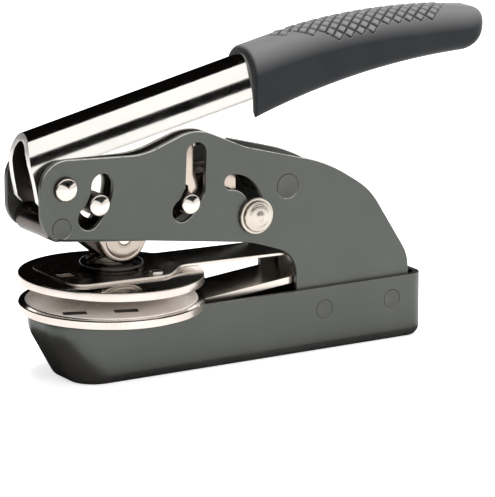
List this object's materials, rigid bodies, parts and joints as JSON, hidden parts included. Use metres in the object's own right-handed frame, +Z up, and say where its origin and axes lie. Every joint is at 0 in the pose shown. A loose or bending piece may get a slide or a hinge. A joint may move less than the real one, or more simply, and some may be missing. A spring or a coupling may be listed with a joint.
{
  "type": "seal embosser",
  "caption": "Hand-held seal embosser: a lever handle with a rubber grip works a presser link and rollers that press a round die clip, on a folded base with side plates.",
  "frame": {"origin": "where the dies' axis meets the surface that the base stands on", "axes": "+X along the embosser from the dies towards the handle's free end, +Z up, +Y to the right side; the storage lock is on the -Y side"},
  "size_m": [0.1432, 0.05, 0.0911],
  "materials": {
    "frame_paint": "satin dark grey paint",
    "polished_nickel": "polished nickel",
    "nickel": "bright nickel plate",
    "steel": "plain plated steel",
    "grip_rubber": "matt black rubber",
    "die_brass": "plain brass",
    "counter_plastic": "smooth moulded plastic"
  },
  "bodies": {
    "frame": {"base_tray": "frame_paint", "side_plate_left": "frame_paint", "side_plate_right": "frame_paint", "front_spacer": "nickel", "rear_spacer": "nickel", "base_spacers": "nickel", "pivot_pin": "nickel", "lock_pivot": "steel", "lower_arm": "steel", "lower_disc": "nickel", "counter_die": "counter_plastic", "clip_block": "steel", "clip_rivets": "steel"},
    "handle": {"handle_channel": "polished_nickel", "handle_grip": "grip_rubber", "link_pin": "nickel"},
    "presser_link": {"presser_link_left": "steel", "presser_link_right": "steel", "link_sleeves": "steel", "fulcrum_pin": "nickel"},
    "roller": {"roller_left": "nickel", "roller_right": "nickel", "roller_axle": "nickel"},
    "upper_die": {"upper_disc": "nickel", "upper_arm": "steel", "pressure_button": "nickel", "male_die": "die_brass", "disc_rivets": "nickel"},
    "storage_lock": {"lock_knob": "nickel", "lock_lever": "steel"}
  },
  "joints": [
    {"name": "handle_hinge", "type": "hinge", "parent": "frame", "child": "handle", "pos_m": [-0.0193, 0, 0.0546], "axis": [0, -1, 0], "range_deg": [-13.8, 14], "stiffness_Nm_per_rad": 5},
    {"name": "link_hinge", "type": "hinge", "parent": "handle", "child": "presser_link", "pos_m": [-0.00943, 0, 0.04931], "axis": [0, -1, 0], "range_deg": [-15.6, 15.6]},
    {"name": "roller_spin", "type": "hinge", "parent": "presser_link", "child": "roller", "pos_m": [0.0005, 0, 0.0386], "axis": [0, -1, 0], "continuous": true},
    {"name": "clip_hinge", "type": "hinge", "parent": "frame", "child": "upper_die", "pos_m": [0.06, 0, 0.026], "axis": [0, -1, 0], "range_deg": [-1.9, 1.9], "deforming": ["upper_arm"]},
    {"name": "lock_swing", "type": "hinge", "parent": "frame", "child": "storage_lock", "pos_m": [0.03125, 0, 0.04275], "axis": [0, -1, 0], "range_deg": [0, 105]}
  ],
  "couplings": [
    {"joint": "link_hinge", "follows": "handle_hinge", "ratio": -1.11},
    {"joint": "clip_hinge", "follows": "handle_hinge", "ratio": -0.13}
  ]
}
